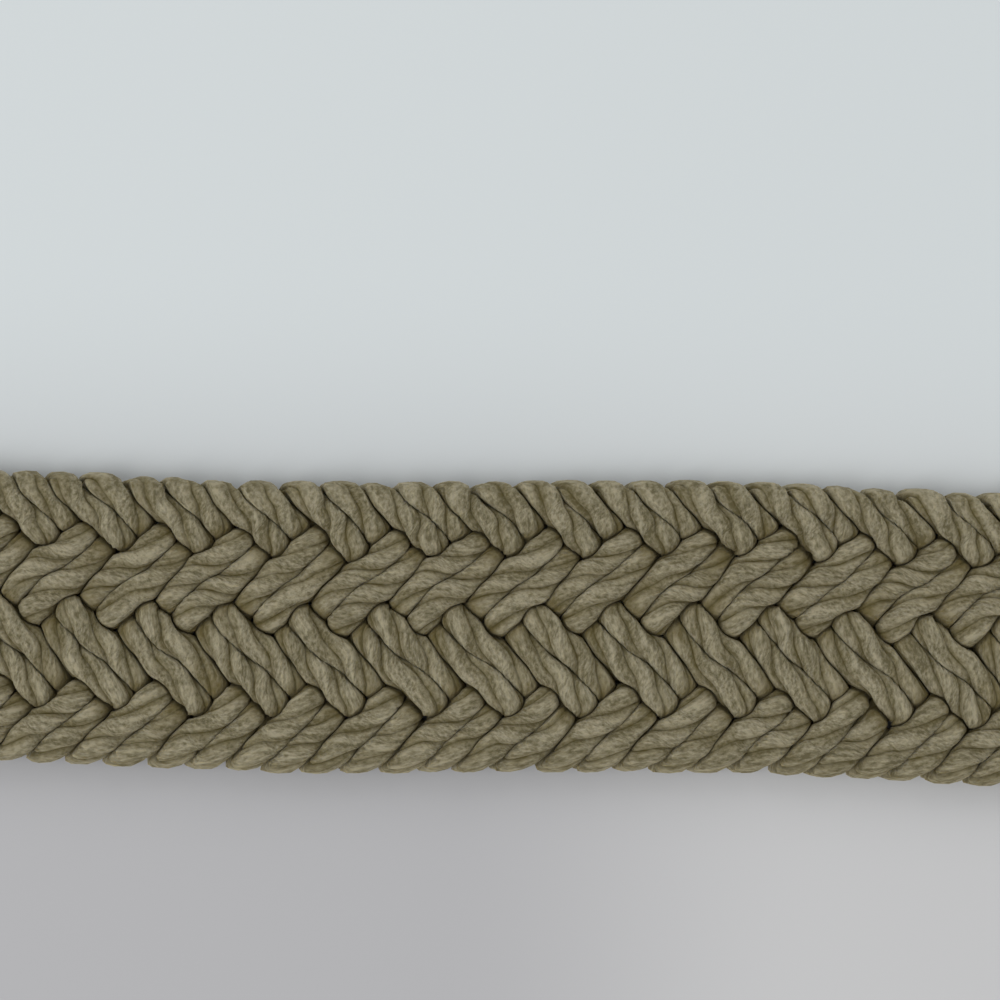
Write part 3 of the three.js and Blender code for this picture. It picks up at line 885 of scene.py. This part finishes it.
def cut_slot(strip):
    """Takes the prong's slot out of the folded strip."""
    turn = np.linspace(-np.pi / 2, np.pi / 2, SLOT_CORNERS)
    half = PRONG_SLOT / 2
    round_end = np.stack([BAR_X + SLOT_LENGTH - half + half * np.cos(turn), half * np.sin(turn)], axis=1)
    plan = np.concatenate([round_end, [[BAR_X - SLOT_FAR, half], [BAR_X - SLOT_FAR, -half]]])
    levels = (-LEATHER, TAB_THICKNESS + LEATHER)
    loops = np.stack([np.column_stack([plan, np.full(len(plan), level)]) for level in levels])
    mesh = bpy.data.meshes.new("slot_cutter")
    mesh.from_pydata([tuple(point) for point in loops.reshape(-1, 3)], [], skin(loops))
    shape = bmesh.new()
    shape.from_mesh(mesh)
    bmesh.ops.recalc_face_normals(shape, faces=shape.faces)
    shape.to_mesh(mesh)
    shape.free()
    cutter = bpy.data.objects.new("slot_cutter", mesh)
    bpy.context.scene.collection.objects.link(cutter)
    modifier = strip.modifiers.new("slot", "BOOLEAN")
    modifier.operation = "DIFFERENCE"
    modifier.solver = "EXACT"
    modifier.object = cutter
    bpy.context.view_layer.update()
    evaluated = strip.evaluated_get(bpy.context.evaluated_depsgraph_get())
    strip.data = bpy.data.meshes.new_from_object(evaluated)
    strip.modifiers.clear()
    strip.data.set_sharp_from_angle(angle=SHARP_ANGLE)
    bpy.data.objects.remove(cutter)


# The buckle: its frame, heel bar and prong
FRAME_WINDOW = 38 * MM
FRAME_FRONT = 5 * MM
FRAME_HEIGHT = 4.6 * MM
FRAME_BEVEL = 1 * MM
FRAME_CORNER = 6 * MM
INNER_CORNER = 3 * MM
ARM_TIP = 1.2 * MM
BEVEL_STEPS = 4
CORNER_STEPS = 10
BAR_RADIUS = 1.4 * MM
BAR_SIDES = 28
PRONG_WIDTH = 3.4 * MM
PRONG_HEIGHT = 2.4 * MM
PRONG_SUNK = 0.4 * MM
PRONG_WALL = 1.2 * MM
PRONG_SHORT = 0.5 * MM
PRONG_BEVEL = 0.5 * MM


def turned(before, corner, after):
    """A rounded corner as points on a curve between two places."""
    share = np.linspace(0, 1, CORNER_STEPS)[:, None]
    before, corner, after = np.array(before), np.array(corner), np.array(after)
    return (1 - share) ** 2 * before + 2 * share * (1 - share) * corner + share**2 * after


def plate(outline, thickness, bevel):
    """Vertices and faces of a plate over an outline in x and y, its rim rounded outward by the bevel."""
    curve = bpy.data.curves.new("outline", "CURVE")
    curve.dimensions = "2D"
    curve.fill_mode = "BOTH"
    curve.extrude = thickness / 2 - bevel
    curve.bevel_depth = bevel
    curve.bevel_resolution = BEVEL_STEPS
    spline = curve.splines.new("POLY")
    spline.points.add(len(outline) - 1)
    for point, (x, y) in zip(spline.points, outline):
        point.co = (x, y, 0, 1)
    spline.use_cyclic_u = True
    holder = bpy.data.objects.new("outline", curve)
    bpy.context.scene.collection.objects.link(holder)
    bpy.context.view_layer.update()
    mesh = bpy.data.meshes.new_from_object(holder.evaluated_get(bpy.context.evaluated_depsgraph_get()))
    vertices = np.array([tuple(vertex.co) for vertex in mesh.vertices])
    faces = [list(face.vertices) for face in mesh.polygons]
    bpy.data.objects.remove(holder)
    bpy.data.meshes.remove(mesh)
    return vertices, faces


def frame_outline():
    outer = HALF_FRAME - FRAME_BEVEL
    inner = FRAME_WINDOW / 2 + FRAME_BEVEL
    front = FRAME_X + FRAME_BEVEL
    inside = FRAME_X + FRAME_FRONT - FRAME_BEVEL
    heel = BAR_X + FRAME_HEEL - FRAME_BEVEL
    half = [
        *turned((inside, inner - INNER_CORNER), (inside, inner), (inside + INNER_CORNER, inner)),
        (heel, inner),
        *turned((heel, outer - ARM_TIP), (heel, outer), (heel - ARM_TIP, outer)),
        *turned((front + FRAME_CORNER, outer), (front, outer), (front, outer - FRAME_CORNER)),
    ]
    return half + [(x, -y) for x, y in reversed(half)]


def prong_outline():
    """The prong from the side, in x and z, smaller by its bevel."""
    middle = TAB_THICKNESS / 2
    root = BAR_RADIUS + PRONG_WALL - PRONG_BEVEL
    tip_x = FRAME_X + PRONG_SHORT + PRONG_BEVEL
    bottom = middle + FRAME_HEIGHT / 2 - PRONG_SUNK + PRONG_BEVEL
    top = bottom + PRONG_HEIGHT - 2 * PRONG_BEVEL
    turn = np.linspace(-np.pi, np.pi / 2, 3 * CORNER_STEPS)
    ring = [(BAR_X + root * math.cos(angle), middle + root * math.sin(angle)) for angle in turn]
    behind = tip_x + FRAME_FRONT
    nose = turned((behind, top), (tip_x, top), (tip_x, bottom))
    return [*ring, *nose, (behind, bottom)]


def build_buckle(metal):
    middle = TAB_THICKNESS / 2
    vertices, faces = plate(frame_outline(), FRAME_HEIGHT, FRAME_BEVEL)
    frame_piece = object_of("buckle_frame", vertices + [0, 0, middle], faces, metal)
    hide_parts("buckle")

    angle = np.arange(BAR_SIDES) * 2 * np.pi / BAR_SIDES
    reach = FRAME_WINDOW / 2 + FRAME_BEVEL
    ring = np.stack([np.cos(angle), 0 * angle, np.sin(angle)], axis=1) * BAR_RADIUS + [BAR_X, 0, middle]
    loops = np.stack([ring - [0, reach, 0], ring + [0, reach, 0]])
    object_of("buckle_bar", loops.reshape(-1, 3), skin(loops), metal)

    vertices, faces = plate(prong_outline(), PRONG_WIDTH, PRONG_BEVEL)
    upright = vertices[:, [0, 2, 1]]
    object_of("buckle_prong", upright, faces, metal)


FLOOR_SIZE = 4
SKY_STRENGTH = 0.6
# Each softbox: its name, size, power and place
SOFTBOXES = (
    ("softbox", 0.9, 6.1, (-0.6, -0.3, 0.95)),
    ("softbox_behind", 0.7, 2.2, (0.3, 0.8, 0.7)),
)


def build_stage():
    bpy.ops.mesh.primitive_plane_add(size=FLOOR_SIZE, location=(0, 0, 0))
    floor = bpy.context.object
    floor.name = "floor"
    floor.data.materials.append(floor_material())
    world = bpy.data.worlds.new("studio")
    bpy.context.scene.world = world
    world.use_nodes = True
    world.node_tree.nodes["Background"].inputs[0].default_value = (1, 1, 1, 1)
    world.node_tree.nodes["Background"].inputs[1].default_value = SKY_STRENGTH
    for name, size, power, place in SOFTBOXES:
        light = bpy.data.lights.new(name, "AREA")
        light.size = size
        light.energy = power
        lamp = bpy.data.objects.new(name, light)
        bpy.context.scene.collection.objects.link(lamp)
        lamp.location = place
        lamp.rotation_mode = "QUATERNION"
        lamp.rotation_quaternion = (-Vector(place)).to_track_quat("-Z", "Y")


# The camera looks straight down, as in the photograph
VIEW_HEIGHT = 0.30
VIEW_Y = 15.5 * MM
VIEW_ROLL = math.radians(1.14)
VIEW_WIDTH = 123.5 * MM
SENSOR_WIDTH = 36  # in millimetres, as the lens is


def build_camera():
    data = bpy.data.cameras.new("camera")
    data.sensor_width = SENSOR_WIDTH
    data.lens = data.sensor_width / 2 / (VIEW_WIDTH / 2 / VIEW_HEIGHT)
    camera = bpy.data.objects.new("camera", data)
    bpy.context.scene.collection.objects.link(camera)
    camera.location = (VIEW_X, VIEW_Y, VIEW_HEIGHT)
    camera.rotation_euler = (0, 0, VIEW_ROLL)
    bpy.context.scene.camera = camera
    bpy.context.scene.view_settings.view_transform = "Standard"


build_camera()
build_stage()
build_braid()
leather, thread = leather_material(), thread_material()
build_tip_tab(leather, thread)
build_buckle_tab(leather, thread)
build_buckle(metal_material())
